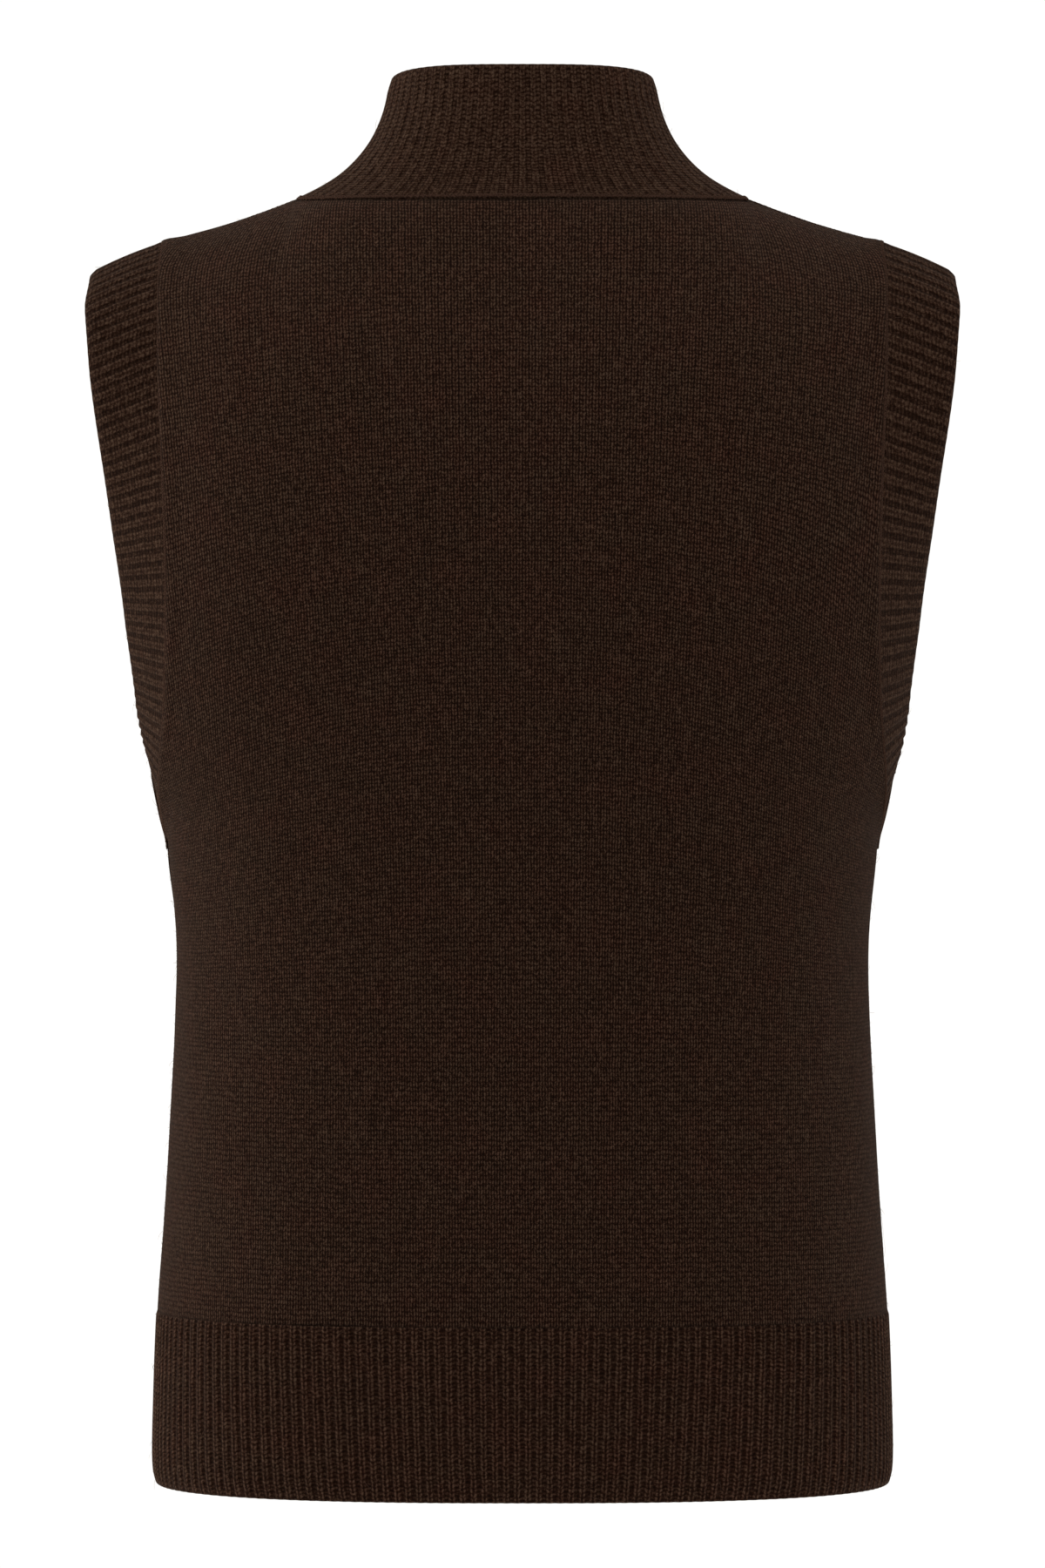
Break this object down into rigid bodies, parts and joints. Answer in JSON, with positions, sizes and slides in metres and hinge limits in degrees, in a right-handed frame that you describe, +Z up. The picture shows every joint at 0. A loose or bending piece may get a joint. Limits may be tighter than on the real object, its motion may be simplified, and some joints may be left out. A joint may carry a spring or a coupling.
{
  "type": "knitted sweater vest",
  "caption": "Sleeveless knitted wool vest with a high rib collar, rib armhole bands and a deep rib hem, filled out as if worn.",
  "frame": {"origin": "middle of the neck opening at the height of the neck ends of the shoulder seams, where the wearer holds the vest up", "axes": "+Z up along the wearer's height, +Y out of the back, +X to the wearer's left"},
  "size_m": [0.4068, 0.232, 0.6609],
  "materials": {
    "wool_jersey": "matt heathered dark brown wool, plain stocking stitch",
    "wool_rib": "matt heathered dark brown wool, one by one rib"
  },
  "bodies": {
    "root": {"back_panel": "wool_jersey", "front_panel": "wool_jersey", "hem_rib_back": "wool_rib", "hem_rib_front": "wool_rib", "collar_rib": "wool_rib", "armhole_rib_left": "wool_rib", "armhole_rib_right": "wool_rib"}
  },
  "joints": []
}
